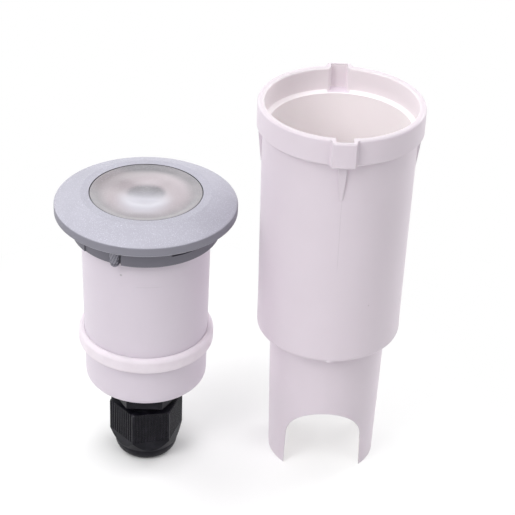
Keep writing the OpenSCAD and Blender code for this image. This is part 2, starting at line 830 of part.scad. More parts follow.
module inductor_core() {
    color([0.2, 0.2, 0.21])
        lamp_place()
            coil_place() {
                cylinder(d = coil_d, h = coil_flange_h);
                cylinder(r = coil_core_r, h = coil_h);
                translate([0, 0, coil_h - coil_flange_h])
                    cylinder(d = coil_d, h = coil_flange_h);
            }
}

module inductor_winding() {
    wind_h = coil_h - 2*coil_flange_h;
    color([0.75, 0.4, 0.2])
        lamp_place()
            coil_place()
                translate([0, 0, coil_flange_h])
                    difference() {
                        cylinder(r = coil_d/2 - coil_wind_gap, h = wind_h);
                        translate([0, 0, -cut])
                            cylinder(r = coil_core_r, h = wind_h + 2*cut);
                    }
}

// A chip on the back of the driver board, centred at x and at a height above the board's lower edge
module back_chip(size, x, up) {
    translate([x - size[0]/2, driver_board_t/2, driver_z + up])
        cube(size);
}

module driver_chips() {
    color([0.13, 0.13, 0.14])
        lamp_place() {
            back_chip(ic_size, 0, driver_board_h*ic_up_share);
            back_chip(bridge_size, 0, driver_board_h*bridge_up_share);
            for (i = [-2, -1, 1, 2])
                back_chip(resistor_size, i*resistor_pitch, driver_board_h*resistor_up_share);
        }
}

module terminal_block() {
    width = pole_count*pole_w;
    color([0.16, 0.45, 0.28])
        lamp_place()
            translate([-width/2, -driver_board_t/2 - terminal_depth, driver_z])
                difference() {
                    cube([width, terminal_depth, terminal_h]);
                    for (i = [0:pole_count - 1])
                        translate([(i + 1/2)*pole_w, 0, 0]) {
                            translate([0, terminal_depth/2, -cut])
                                cylinder(r = entry_r, h = entry_depth + cut);
                            translate([0, terminal_screw_depth, terminal_h/2])
                                rotate([90, 0, 0])
                                    cylinder(r = terminal_screw_r + fixed_gap,
                                        h = terminal_screw_depth + cut);
                        }
                }
}

module terminal_screws() {
    color([0.78, 0.78, 0.8])
        lamp_place()
            for (i = [0:pole_count - 1])
                translate([(i + 1/2 - pole_count/2)*pole_w,
                    -driver_board_t/2 - terminal_depth + terminal_screw_depth, driver_z + terminal_h/2])
                    rotate([90, 0, 0])
                        difference() {
                            cylinder(r = terminal_screw_r, h = terminal_screw_depth - part_gap);
                            translate([-terminal_screw_r - cut, -screw_slot_w/2,
                                terminal_screw_depth - part_gap - screw_slot_depth])
                                cube([2*(terminal_screw_r + cut), screw_slot_w, screw_slot_depth + cut]);
                        }
}

// Outside of the housing, with the band's groove and the collar's thread
module housing_outside() {
    ridge_count = floor((collar_h - thread_pitch/2)/thread_pitch);
    groove_low = band_z + band_round/2;
    groove_high = band_z + band_h - band_round/2;
    rotate_extrude()
        polygon(concat(
            [[0, housing_z]],
            arc([housing_low_r - housing_round, housing_z + housing_round], housing_round, -90, 0),
            [[housing_r(groove_low), groove_low], [housing_r(groove_low) - groove_depth, groove_low],
                [housing_r(groove_low) - groove_depth, groove_high], [housing_r(groove_high), groove_high],
                [housing_high_r, collar_z], [root_r, collar_z]],
            ridges(collar_z + thread_pitch/4, ridge_count, thread_pitch, root_r, crest_r),
            [[root_r, housing_top], [0, housing_top]]));
}

module housing() {
    inside_h = housing_top - floor_z;
    color([0.9, 0.87, 0.9])
        lamp_place()
            difference() {
                union() {
                    difference() {
                        housing_outside();
                        translate([0, 0, floor_z])
                            cylinder(r = housing_bore_r, h = inside_h + cut);
                    }
                    for (a = boss_turns)
                        rotate([0, 0, a])
                            translate([boss_ring_r, 0, floor_z])
                                cylinder(r = boss_r, h = sink_z - floor_z);
                    intersection() {
                        translate([0, 0, floor_z])
                            cylinder(r = housing_bore_r + fixed_gap, h = sink_z - fin_h - floor_z);
                        for (s = [0, 180])
                            rotate([0, 0, s])
                                difference() {
                                    translate([housing_bore_r - rail_depth, -rail_w/2, floor_z])
                                        cube([rail_depth + fixed_gap, rail_w, driver_top - floor_z]);
                                    translate([housing_bore_r - rail_depth - cut,
                                        -driver_board_t/2 - fixed_gap, driver_z])
                                        cube([rail_slot_depth + cut, driver_board_t + 2*fixed_gap,
                                            driver_board_h + cut]);
                                }
                    }
                }
                for (a = boss_turns)
                    rotate([0, 0, a])
                        translate([boss_ring_r, 0, sink_z - pilot_depth])
                            cylinder(r = screw_r + fixed_gap, h = pilot_depth + cut);
                translate([0, 0, housing_z - cut])
                    cylinder(r = gland_thread_r + hole_gap, h = housing_floor + 2*cut);
            }
}

// Soft band: a tongue in the housing's groove and a rounded body outside it
module centering_band() {
    seat_r = housing_r(band_z + band_h) + fixed_gap;
    tongue_low = band_z + band_round/2 + fixed_gap;
    tongue_high = band_z + band_h - band_round/2 - fixed_gap;
    tongue_r = housing_r(band_z + band_round/2) - groove_depth + fixed_gap;
    color([0.93, 0.91, 0.93])
        lamp_place()
            rotate_extrude()
                polygon(concat(
                    [[tongue_r, tongue_low], [seat_r, tongue_low], [seat_r, band_z]],
                    arc([band_r - band_round, band_z + band_round], band_round, -90, 0),
                    arc([band_r - band_round, band_z + band_h - band_round], band_round, 0, 90),
                    [[seat_r, band_z + band_h], [seat_r, tongue_high], [tongue_r, tongue_high]]));
}

module gland_body() {
    low_turns = floor((hex_z - claw_root_z)/gland_pitch);
    top_turns = floor(gland_tail_h/gland_pitch);
    tail_top = washer_z + gland_tail_h;
    color([0.13, 0.13, 0.15])
        lamp_place()
            difference() {
                union() {
                    rotate_extrude()
                        polygon(concat(
                            [[0, claw_z], [claw_tip_r, claw_z], [claw_r, claw_root_z]],
                            ridges(hex_z - low_turns*gland_pitch, low_turns, gland_pitch,
                                gland_root_r, gland_thread_r),
                            [[gland_root_r, hex_z], [gland_root_r, washer_z]],
                            ridges(washer_z, top_turns, gland_pitch, gland_root_r, gland_thread_r),
                            [[gland_root_r, tail_top], [0, tail_top]]));
                    translate([0, 0, hex_z])
                        hexagon(body_af, body_hex_h);
                }
                translate([0, 0, claw_z - cut])
                    cylinder(r = gland_bore_r, h = hex_z - claw_z + cut);
                translate([0, 0, claw_z])
                    cylinder(r = gland_neck_r, h = tail_top - claw_z + cut);
                for (i = [0:claw_count/2 - 1])
                    rotate([0, 0, 180*i/(claw_count/2)])
                        translate([-claw_r - cut, -claw_slot_w/2, claw_z - cut])
                            cube([2*(claw_r + cut), claw_slot_w, claw_root_z - claw_z]);
            }
}

module gland_washer() {
    color([0.1, 0.1, 0.11])
        lamp_place()
            translate([0, 0, washer_z])
                difference() {
                    cylinder(d = body_af, h = washer_t);
                    translate([0, 0, -cut])
                        cylinder(r = gland_thread_r + fixed_gap, h = washer_t + 2*cut);
                }
}

module gland_lock_nut() {
    color([0.15, 0.15, 0.17])
        lamp_place()
            translate([0, 0, floor_z])
                difference() {
                    hexagon(lock_nut_af, lock_nut_h);
                    translate([0, 0, -cut])
                        cylinder(r = gland_thread_r + fixed_gap, h = lock_nut_h + 2*cut);
                }
}

module gland_seal() {
    color([0.3, 0.3, 0.32])
        lamp_place()
            translate([0, 0, seal_z])
                difference() {
                    union() {
                        cylinder(r = seal_head_r, h = seal_head_h);
                        cylinder(r = seal_r, h = seal_h);
                    }
                    translate([0, 0, -cut])
                        cylinder(r = seal_bore_r, h = seal_h + 2*cut);
                }
}

// Hexagon with fine upright grooves on its faces
module ribbed_hexagon() {
    face_ribs = floor(nut_corner_r/nut_rib_pitch) - 1;
    difference() {
        circle(r = nut_corner_r, $fn = 6);
        for (a = [30:60:330], i = [0:face_ribs - 1])
            rotate(a)
                translate([nut_af/2 - nut_rib_depth, (i - (face_ribs - 1)/2 - 1/4)*nut_rib_pitch])
                    square([nut_rib_depth + cut, nut_rib_pitch/2]);
    }
}

module dome_nut() {
    // Rise of the corners' lower chamfer for each step out
    chamfer_rise = (nut_chamfer_z - nut_shoulder_z)/(nut_corner_r - nut_shoulder_r);
    color([0.12, 0.12, 0.14])
        lamp_place()
            difference() {
                intersection() {
                    rotate([0, 0, nut_turn])
                        union() {
                            cylinder(r = nut_corner_r, h = nut_rib_up, $fn = 6);
                            translate([0, 0, nut_rib_up])
                                linear_extrude(nut_h - nut_rib_up)
                                    ribbed_hexagon();
                        }
                    rotate_extrude()
                        polygon(concat(
                            [[0, 0]],
                            [for (i = [0:dome_steps]) let (a = 90*i/dome_steps)
                                [nut_foot_r + (nut_shoulder_r - nut_foot_r)*sin(a),
                                    nut_shoulder_z*(1 - cos(a))]],
                            [[nut_corner_r + cut, nut_chamfer_z + cut*chamfer_rise],
                                [nut_corner_r + cut, nut_h - nut_top_chamfer - cut],
                                [nut_corner_r - nut_top_chamfer, nut_h], [0, nut_h]]));
                }
                rotate_extrude()
                    polygon([[0, -cut], [nut_mouth_r, -cut], [nut_mouth_r, nut_lip_t],
                        [nut_seat_r, nut_lip_t], [nut_bore_r, nut_chamfer_z], [nut_bore_r, nut_h + cut],
                        [0, nut_h + cut]]);
            }
}

mounting_sleeve();
trim_ring();
lens();
lens_gasket();
reflector();
led_board();
led_chips();
board_screws();
thermal_pad();
heat_sink();
sink_screws();
led_wire_red();
led_wire_black();
driver_board();
driver_capacitor();
inductor_core();
inductor_winding();
driver_chips();
terminal_block();
terminal_screws();
housing();
centering_band();
gland_body();
gland_washer();
gland_lock_nut();
gland_seal();
dome_nut();
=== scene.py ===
# %% [markdown]
# # A recessed ground light beside its mounting sleeve
# The lamp stands on its cable gland at the left. The plastic sleeve that is set in the ground
# stands on its two legs at the right. The exact solids come in as a fixed frame, in metres. This
# script gives them their finishes, swaps a few for finer meshes, and adds camera and light.

# %% Load the frame
import math

import bmesh
import bpy
from mathutils import Matrix, Quaternion, Vector


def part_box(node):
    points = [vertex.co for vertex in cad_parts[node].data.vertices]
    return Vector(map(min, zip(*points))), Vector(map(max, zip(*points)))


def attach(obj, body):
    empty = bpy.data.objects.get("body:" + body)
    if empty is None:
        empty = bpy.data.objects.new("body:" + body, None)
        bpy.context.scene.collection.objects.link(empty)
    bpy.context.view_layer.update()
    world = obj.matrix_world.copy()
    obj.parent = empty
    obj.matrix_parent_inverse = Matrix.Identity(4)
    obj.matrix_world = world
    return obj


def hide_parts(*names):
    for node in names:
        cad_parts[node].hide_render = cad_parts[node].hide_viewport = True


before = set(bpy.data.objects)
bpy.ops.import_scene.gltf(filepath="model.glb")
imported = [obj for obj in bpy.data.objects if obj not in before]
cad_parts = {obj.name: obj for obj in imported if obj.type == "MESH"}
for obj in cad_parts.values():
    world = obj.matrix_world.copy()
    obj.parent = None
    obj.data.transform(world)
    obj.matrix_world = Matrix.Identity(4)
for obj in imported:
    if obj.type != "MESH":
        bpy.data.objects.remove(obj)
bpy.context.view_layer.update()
MM = 0.001
print("nodes in the frame:", len(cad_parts))

# %% [markdown]
# The camera comes first, because the finishes are judged through it. It looks down on the pair
# from the front with a long lens. The roll is the small turn that makes the lamp lean a little,
# as in a hand-held product shot.

# %% Place the camera
IMAGE_PX = 515
FOCAL_PX = 1717.458
SENSOR_MM = 36
CAMERA_AT = Vector((1.569, -526.610, 409.964)) * MM
LOOK_AT = Vector((8.955, 59.798, 47.184)) * MM
ROLL = math.radians(2.272)

camera_data = bpy.data.cameras.new("camera")
camera_data.sensor_width = SENSOR_MM
camera_data.lens = FOCAL_PX / IMAGE_PX * SENSOR_MM
camera = bpy.data.objects.new("camera", camera_data)
bpy.context.scene.collection.objects.link(camera)
camera.location = CAMERA_AT
camera.rotation_mode = "QUATERNION"
level_view = (LOOK_AT - CAMERA_AT).to_track_quat("-Z", "Y")
camera.rotation_quaternion = level_view @ Quaternion((0, 0, 1), ROLL)
bpy.context.scene.camera = camera
print(f"focal length: {camera_data.lens:.2f} mm")

# %% [markdown]
# The places that the finishes and new pieces need are read from the frame, not typed again: the
# lamp's axis, the sleeve's axis, and the box of each node that a piece is fitted to. The ring's
# flange is the sloping part above its skirt.

# %% Read the frame's places
FLANGE_H = 7.2 * MM


def middle(node):
    """Centre of a node's box, on the ground."""
    low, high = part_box(node)
    return Vector(((low.x + high.x) / 2, (low.y + high.y) / 2, 0))


LAMP = middle("housing")
SLEEVE = middle("mounting_sleeve")
RING_LOW, RING_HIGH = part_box("trim_ring")
FLANGE_Z = RING_HIGH.z - FLANGE_H
print(f"lamp axis: {LAMP.x / MM:.2f}, {LAMP.y / MM:.2f} mm")
print(f"ring's top: {RING_HIGH.z / MM:.2f} mm, flange's foot: {FLANGE_Z / MM:.2f} mm")

# %% [markdown]
# ## How the finishes are written
# A material is a tree of nodes, and a long tree is hard to read as a list of links. A `Value`
# wraps one output socket and lets it stand in a sum, so a mask reads as `1 - grain * 0.2`.

# %% A socket that can stand in a sum
class Value:
    """An output socket that can stand in a sum."""

    def __init__(self, tree, socket):
        self.tree = tree
        self.socket = socket

    def maths(self, operation, first, second):
        return self.tree.node("ShaderNodeMath", {"operation": operation}, {0: first, 1: second})

    def __add__(self, other):
        return self.maths("ADD", self, other)

    def __sub__(self, other):
        return self.maths("SUBTRACT", self, other)

    def __rsub__(self, other):
        return self.maths("SUBTRACT", other, self)

    def __mul__(self, other):
        return self.maths("MULTIPLY", self, other)

    __radd__ = __add__
    __rmul__ = __mul__


print("helper: Value")

# %% [markdown]
# A `Tree` adds nodes: its `node` method takes the kind, the settings and the inputs of any node
# and gives back one output. A `Finish` is the tree of one material. What is the same all over a
# surface is set on the shader's own sockets, and only what varies is linked, because that is what
# an export can bake.

# %% Trees and finishes
class Tree:
    """A node tree in the making."""

    def __init__(self, owner, shader):
        owner.use_nodes = True
        self.nodes = owner.node_tree.nodes
        self.links = owner.node_tree.links
        self.shader = self.nodes[shader]

    def node(self, kind, settings=None, inputs=None, out=0):
        """Adds a node, sets it up, feeds its sockets and returns one of its outputs."""
        made = self.nodes.new(kind)
        for key, value in (settings or {}).items():
            setattr(made, key, value)
        for key, value in (inputs or {}).items():
            if isinstance(value, Value):
                self.links.new(value.socket, made.inputs[key])
            else:
                made.inputs[key].default_value = value
        return Value(self, made.outputs[out])

    def feed(self, socket, value):
        """Links a value to a socket of the tree's shader."""
        self.links.new(value.socket, self.shader.inputs[socket])


class Finish(Tree):
    """One material: constants are set at the start, what varies is fed later."""

    def __init__(self, name, **sockets):
        self.material = bpy.data.materials.new(name)
        super().__init__(self.material, "Principled BSDF")
        self.place = self.node("ShaderNodeTexCoord", out="Object")
        for socket, value in sockets.items():
            self.shader.inputs[socket.replace("_", " ")].default_value = value


print("helpers: Tree, Finish")

# %% [markdown]
# Every finish needs the same few patterns at its own scale: soft noise, cells, a step between
# two levels, a blend of two colours. Sizes are given in millimetres of the real object, because
# a grain of the wrong size is what gives a model away.

# %% Patterns in millimetres
def noise(finish, size, detail=2.0, roughness=0.5):
    """Soft noise round 0.5, with blobs of about that size."""
    return finish.node("ShaderNodeTexNoise", {}, {
        "Vector": finish.place, "Scale": 1 / (size * MM), "Detail": detail,
        "Roughness": roughness})


def cells(finish, size, out="Color"):
    """Cells of that size: a random colour for each, or the distance to its middle."""
    return finish.node("ShaderNodeTexVoronoi", {}, {
        "Vector": finish.place, "Scale": 1 / (size * MM)}, out)


def step(finish, value, low, high):
    """0 below low, 1 above high and a smooth rise between them."""
    return finish.node("ShaderNodeMapRange", {"interpolation_type": "SMOOTHSTEP"}, {
        "Value": value, "From Min": low, "From Max": high})


def between(finish, value, low, high, soft):
    """1 where a length is between low and high mm, fading over soft mm on either side."""
    rise = step(finish, value, (low - soft) * MM, low * MM)
    return rise * (1 - step(finish, value, high * MM, (high + soft) * MM))


def blend(finish, mask, first, second):
    """The first colour where the mask is 0, the second where it is 1."""
    first, second = (c if isinstance(c, Value) else (*c, 1) for c in (first, second))
    return finish.node("ShaderNodeMix", {"data_type": "RGBA"}, {0: mask, 6: first, 7: second}, 2)


def split(finish, vector, axis):
    """One part of a vector or colour, as a plain value."""
    return finish.node("ShaderNodeSeparateXYZ", {}, {"Vector": vector}, axis)


print("patterns: noise, cells, step, between, blend, split")

# %% [markdown]
# Some marks belong to one place on the object, such as a speck or the turn marks round an axis.
# These helpers measure from a point, from an upright axis, and tell the inner side of a wall from
# its outer side by where the surface faces.

# %% Measures from a place
INNER_FACING = (-0.4, 0)


def spot(finish, at, size):
    """1 within about that many mm of a point that is given in mm."""
    away = finish.node("ShaderNodeVectorMath", {"operation": "DISTANCE"}, {
        0: finish.place, 1: Vector(at) * MM}, "Value")
    return 1 - step(finish, away, size * 0.6 * MM, size * MM)


def arm(finish, axis):
    """The level line from an upright axis to the surface."""
    moved = finish.node("ShaderNodeVectorMath", {"operation": "SUBTRACT"}, {
        0: finish.place, 1: axis})
    return finish.node("ShaderNodeVectorMath", {"operation": "MULTIPLY"}, {0: moved, 1: (1, 1, 0)})


def from_axis(finish, axis):
    """Distance from an upright axis, in metres."""
    return finish.node("ShaderNodeVectorMath", {"operation": "LENGTH"}, {
        0: arm(finish, axis)}, "Value")


def inner_side(finish, axis):
    """1 on faces that look toward the axis, 0 on level ones and those that look away from it."""
    outward = finish.node("ShaderNodeVectorMath", {"operation": "NORMALIZE"}, {
        0: arm(finish, axis)})
    facing = finish.node("ShaderNodeNewGeometry", out="True Normal")
    along = finish.node("ShaderNodeVectorMath", {"operation": "DOT_PRODUCT"}, {
        0: outward, 1: facing}, "Value")
    return 1 - step(finish, along, *INNER_FACING)


print("measures: spot, arm, from_axis, inner_side")

# %% [markdown]
# Moulded and cast edges are never sharp. The Bevel node looks a short way round each point and
# returns a rounded normal, which gives every edge its thin highlight. How far that normal leans
# away from the true one also says where an edge is. Most finishes paint a paler colour there, as a
# painted highlight; on bare metal it stands for wear, and on a circuit board for its bare edge.

# %% Soft edges and relief
EDGE_LEAN = (0.02, 0.3)


def soften(finish, radius, samples=4):
    """The rounded normal, and a mask that is 1 along the edges."""
    rounded = finish.node("ShaderNodeBevel", {"samples": samples}, {"Radius": radius * MM})
    true = finish.node("ShaderNodeNewGeometry", out="Normal")
    same = finish.node("ShaderNodeVectorMath", {"operation": "DOT_PRODUCT"}, {
        0: rounded, 1: true}, "Value")
    return rounded, step(finish, 1 - same, *EDGE_LEAN)


def relief(finish, layers, normal=None):
    """Feeds the shader's Normal from (height, depth in mm) layers, one Bump node each."""
    for level, depth in layers:
        inputs = {"Height": level, "Distance": depth * MM, "Strength": 1.0}
        if normal:
            inputs["Normal"] = normal
        normal = finish.node("ShaderNodeBump", {}, inputs)
    finish.feed("Normal", normal)


print("helpers: soften, relief")

# %% [markdown]
# ## White mouldings
# The sleeve and the lamp's body are moulded in white plastic with a faint lilac cast. Up close
# such a part isn't one flat tone: the colour drifts softly where the melt cooled, the surface
# has a very fine satin grain, and a few dark specks are trapped in it. Light sinks in a little,
# so the shader gets some subsurface scattering, as a constant. The sleeve's inner side is painted
# lighter and warmer, as painted light where its white walls light each other; the level end of
# its rim is painted darker, as painted shade under the light from above; and the edges are
# painted paler, as a painted highlight.

# %% The moulded white
SPECK = (0.30, 0.28, 0.30)
EDGE_PAINTED_HIGHLIGHT = (0.90, 0.87, 0.89)
RIM_END_PAINTED_SHADE = (0.60, 0.55, 0.585)
RIM_END = (145.9 * MM, 146.3 * MM)
MOUTH = (136 * MM, 139 * MM)
DUST_CELL = 9


def front_line(finish, axis, across, up):
    """A thin line on a part's front: its range and fade in mm, across it and upward."""
    x, y, z = (split(finish, finish.place, part) for part in "XYZ")
    front = 1 - step(finish, y, axis.y - 1 * MM, axis.y)
    return between(finish, x, *across) * between(finish, z, *up) * front


def moulded(name, colour, specks, line_at, inner=None):
    """White plastic with specks at (x, y, z, size, strength), in mm, and one thin line.

    inner is the colour painted on the wall's inner side, as painted light where the white walls
    light each other."""
    finish = Finish(name, Subsurface_Weight=0.12, Subsurface_Radius=(0.003, 0.0026, 0.0028),
                    Subsurface_Scale=0.5, IOR=1.46)
    drift = noise(finish, 26)
    flow = noise(finish, 6, 3)
    grain = noise(finish, 0.22)
    rounded, edge = soften(finish, 0.28)
    line = front_line(finish, *line_at)
    height = split(finish, finish.place, "Z")
    end = step(finish, height, *RIM_END)
    tone = blend(finish, step(finish, drift, 0.3, 0.7), colour, tuple(c * 0.98 for c in colour))
    # The inner side is painted lighter and warmer: painted light, a little less near the mouth.
    if inner:
        mouth = step(finish, height, *MOUTH)
        tone = blend(finish, inner_side(finish, SLEEVE) * (1 - mouth * 0.4), tone, inner)
    # Edges are painted paler: a painted highlight.
    tone = blend(finish, edge * (1 - end) * 0.5, tone, EDGE_PAINTED_HIGHLIGHT)
    # The rim's level end is painted darker: painted shade under the light from above.
    tone = blend(finish, end * 0.6, tone, RIM_END_PAINTED_SHADE)
    tone = blend(finish, line * 0.14, tone, SPECK)
    dirt = sum((spot(finish, place, size) * strength for *place, size, strength in specks), 0)
    few = step(finish, split(finish, cells(finish, DUST_CELL), "X"), 0.97, 0.975)
    dust = few * (1 - step(finish, cells(finish, DUST_CELL, "Distance"), 0.014, 0.026))
    finish.feed("Base Color", blend(finish, dirt + dust * 0.4, tone, SPECK))
    finish.feed("Roughness", 0.38 + flow * 0.1 + grain * 0.06)
    relief(finish, [(drift, 0.05), (flow, 0.012), (grain, 0.004), (line, 0.015)], rounded)
    return finish.material


print("finish: moulded")

# %% [markdown]
# The two parts differ in tone, and each has marks of its own. The sleeve shows a short parting
# line below the wedge at its front and three specks, the housing a faint level line where the
# plastic sank and one speck below the ring.

# %% The two white parts
SLEEVE_WHITE = (0.738, 0.662, 0.728)
SLEEVE_INNER_PAINTED_LIGHT = (0.940, 0.885, 0.895)
SLEEVE_SPECKS = [(47.89, -20.5, 78.3, 0.5, 0.35), (49.5, -19.56, 60.57, 0.5, 0.25),
                 (42.08, -19.38, 41.11, 0.5, 0.25)]
SLEEVE_LINE = (SLEEVE, (35.5, 35.6, 0.12), (98, 120, 6))
HOUSING_WHITE = (0.708, 0.641, 0.718)
HOUSING_SPECKS = [(-39.18, -23.51, 89.75, 0.55, 0.5)]
HOUSING_LINE = (LAMP, (-33, -26, 2), (85.5, 85.6, 0.12))

sleeve_white = moulded("sleeve_plastic_white", SLEEVE_WHITE, SLEEVE_SPECKS, SLEEVE_LINE,
                       SLEEVE_INNER_PAINTED_LIGHT)
housing_white = moulded("housing_plastic_white", HOUSING_WHITE, HOUSING_SPECKS, HOUSING_LINE)
print("finishes:", sleeve_white.name, housing_white.name)

# %% [markdown]
# The band round the lamp is a softer, slightly clearer rubbery plastic: rounder highlights, more
# light inside, and a dusty bloom.

# %% The soft band
BAND_WHITE, BAND_BLOOM = (0.83, 0.76, 0.82), (0.80, 0.73, 0.79)
BAND_EDGE_PAINTED_HIGHLIGHT = (0.92, 0.88, 0.91)


def soft_band():
    """White silicone with a faint bloom."""
    finish = Finish("band_silicone_white", Subsurface_Weight=0.3,
                    Subsurface_Radius=(0.004, 0.0034, 0.0036), Subsurface_Scale=0.6, IOR=1.42)
    bloom = noise(finish, 4, 4)
    grain = noise(finish, 0.3)
    rounded, edge = soften(finish, 0.3)
    tone = blend(finish, step(finish, bloom, 0.35, 0.7), BAND_WHITE, BAND_BLOOM)
    # Edges are painted paler: a painted highlight.
    finish.feed("Base Color", blend(finish, edge * 0.4, tone, BAND_EDGE_PAINTED_HIGHLIGHT))
    finish.feed("Roughness", 0.5 + bloom * 0.12)
    relief(finish, [(bloom, 0.02), (grain, 0.006)], rounded)
    return finish.material


band_white = soft_band()
print("finish:", band_white.name)

# %% [markdown]
# ## The cast trim ring
# The ring is cast metal under a silver-grey powder coat, matt and even, with metal flakes so fine
# that they only sparkle where light grazes the front. The band just above the flange's lowest edge
# is painted darker, as painted shade, and that edge and the ring's other edges are painted pale,
# as painted highlights. The skirt is painted dark, as painted shade under the flange, and it is a
# little smoother; the narrow gap round the lens is painted dark, as painted shade.

# %% The powder coat
POWDER, POWDER_DEEP = (0.372, 0.366, 0.424), (0.350, 0.344, 0.399)
PEBBLE = (0.43, 0.425, 0.485)
FLAKE = (0.72, 0.72, 0.80)
POWDER_PAINTED_HIGHLIGHT = (0.52, 0.52, 0.58)
BAND_PAINTED_SHADE = (0.20, 0.195, 0.232)
BAND_PAINTED_SHADE_H = 3.2
GAP_PAINTED_SHADE = (0.08, 0.08, 0.09)
LENS_GAP = (20.12 * MM, 20.25 * MM)
SKIRT_PAINTED_SHADE = (0.125, 0.120, 0.148)
STUD_PAINTED_SHADE = (0.26, 0.255, 0.30)


def powder_coat(name, low):
    """The coat; low is the colour painted below the flange, as painted shade under it."""
    finish = Finish(name, IOR=1.5)
    pebble = noise(finish, 0.34, 3, 0.6)
    fine = noise(finish, 0.13)
    cloud = noise(finish, 12)
    flake = step(finish, split(finish, cells(finish, 0.2), "X"), 0.9, 0.93)
    rounded, edge = soften(finish, 0.25)
    z = split(finish, finish.place, "Z")
    foot = FLANGE_Z / MM
    # Below the flange the coat is painted dark: painted shade under the flange.
    skirt = 1 - step(finish, z, FLANGE_Z - 0.05 * MM, FLANGE_Z)
    # A pale line is painted along the flange's lowest edge: a painted highlight.
    lower_edge_highlight = between(finish, z, foot, foot + 0.3, 0.15)
    # The band above the flange's lowest edge is painted darker: painted shade.
    thin = between(finish, z, foot, foot + BAND_PAINTED_SHADE_H, 0.3)
    # The gap round the lens is painted dark: painted shade.
    gap = 1 - step(finish, from_axis(finish, LAMP), *LENS_GAP)
    tone = blend(finish, step(finish, cloud, 0.3, 0.7), POWDER, POWDER_DEEP)
    tone = blend(finish, step(finish, pebble, 0.35, 0.65) * 0.25, tone, PEBBLE)
    for mask, colour in ((flake * 0.35, FLAKE), (edge * 0.3, POWDER_PAINTED_HIGHLIGHT), (thin * 0.8, BAND_PAINTED_SHADE),
                         (lower_edge_highlight * 0.5, POWDER_PAINTED_HIGHLIGHT), (skirt * 0.85, low),
                         (gap * 0.9, GAP_PAINTED_SHADE)):
        tone = blend(finish, mask, tone, colour)
    finish.feed("Base Color", tone)
    finish.feed("Metallic", 0.2 + flake * 0.3)
    finish.feed("Roughness", 0.5 + fine * 0.12 - skirt * 0.06)
    relief(finish, [(pebble, 0.014), (fine, 0.005)], rounded)
    return finish.material


powder = powder_coat("trim_powder_silver", SKIRT_PAINTED_SHADE)
stud_powder = powder_coat("stud_powder_silver", STUD_PAINTED_SHADE)
print("finishes:", powder.name, stud_powder.name)

# %% [markdown]
# ## The frosted lens
# The lens is clear plastic with a frosted face. It scatters what comes up from the reflector, so
# it looks pinkish grey, and it is painted greyer toward its edge, as painted shade on the groove
# there. The light and shade on its relief are painted into its colour as soft patches: painted
# shade on the back half of the hollow, at the far left and along the front edge, and painted light
# in a pale round before the hollow and a paler patch behind it. A truly see-through lens comes out
# flat here, so the patches are blended into its colour.

# %% Soft patches behind the frost
# Each patch is painted light or painted shade. It has its centre and reach in mm, the share of the
# reach that is full, its strength and its colour.
LENS_PAINTED_LIGHT_AND_SHADE = [((-4, 18.5), (22, 7), 0.1, 0.7, (0.13, 0.125, 0.14)),
           ((-13, 8), (14, 12), 0.1, 0.95, (0.22, 0.19, 0.205)),
           ((-5, 12.5), (16, 4.5), 0.1, 0.4, (0.25, 0.22, 0.235)),
           ((0, 8.6), (11, 4), 0.1, 0.55, (0.46, 0.415, 0.44)),
           ((-0.4, -6), (11.8, 12), 0.35, 0.95, (0.49, 0.485, 0.54)),
           ((-1, -16.3), (10, 3), 0.1, 0.6, (0.24, 0.22, 0.235))]
HOLLOW_R = (5.6 * MM, 7.8 * MM)
HOLLOW_BACK = (-5 * MM, 1 * MM)
HOLLOW_PAINTED_SHADE = (0.135, 0.13, 0.145)


def patch(finish, place, centre, reach, full):
    """1 near a point, fading out over an oval; place is the level line from the lamp's axis."""
    moved = finish.node("ShaderNodeVectorMath", {"operation": "SUBTRACT"}, {
        0: place, 1: Vector((*centre, 0)) * MM})
    oval = finish.node("ShaderNodeVectorMath", {"operation": "MULTIPLY"}, {
        0: moved, 1: (1 / (reach[0] * MM), 1 / (reach[1] * MM), 0)})
    away = finish.node("ShaderNodeVectorMath", {"operation": "LENGTH"}, {0: oval}, "Value")
    return 1 - step(finish, away, full, 1)


print("patches:", len(LENS_PAINTED_LIGHT_AND_SHADE))

# %% [markdown]
# Over the patches lies the frost itself: a fine grain that is paler than what it covers. The
# lens's rim is painted dark, as painted shade in the gap round it.

# %% The frosted face
LENS_WARM, LENS_GREY_PAINTED_SHADE = (0.36, 0.315, 0.34), (0.225, 0.215, 0.23)
LENS_CLOUD = (0.42, 0.37, 0.39)
FROST = (0.62, 0.61, 0.65)
GREYER = (13 * MM, 18 * MM)
LENS_EDGE = (19.72 * MM, 19.85 * MM)


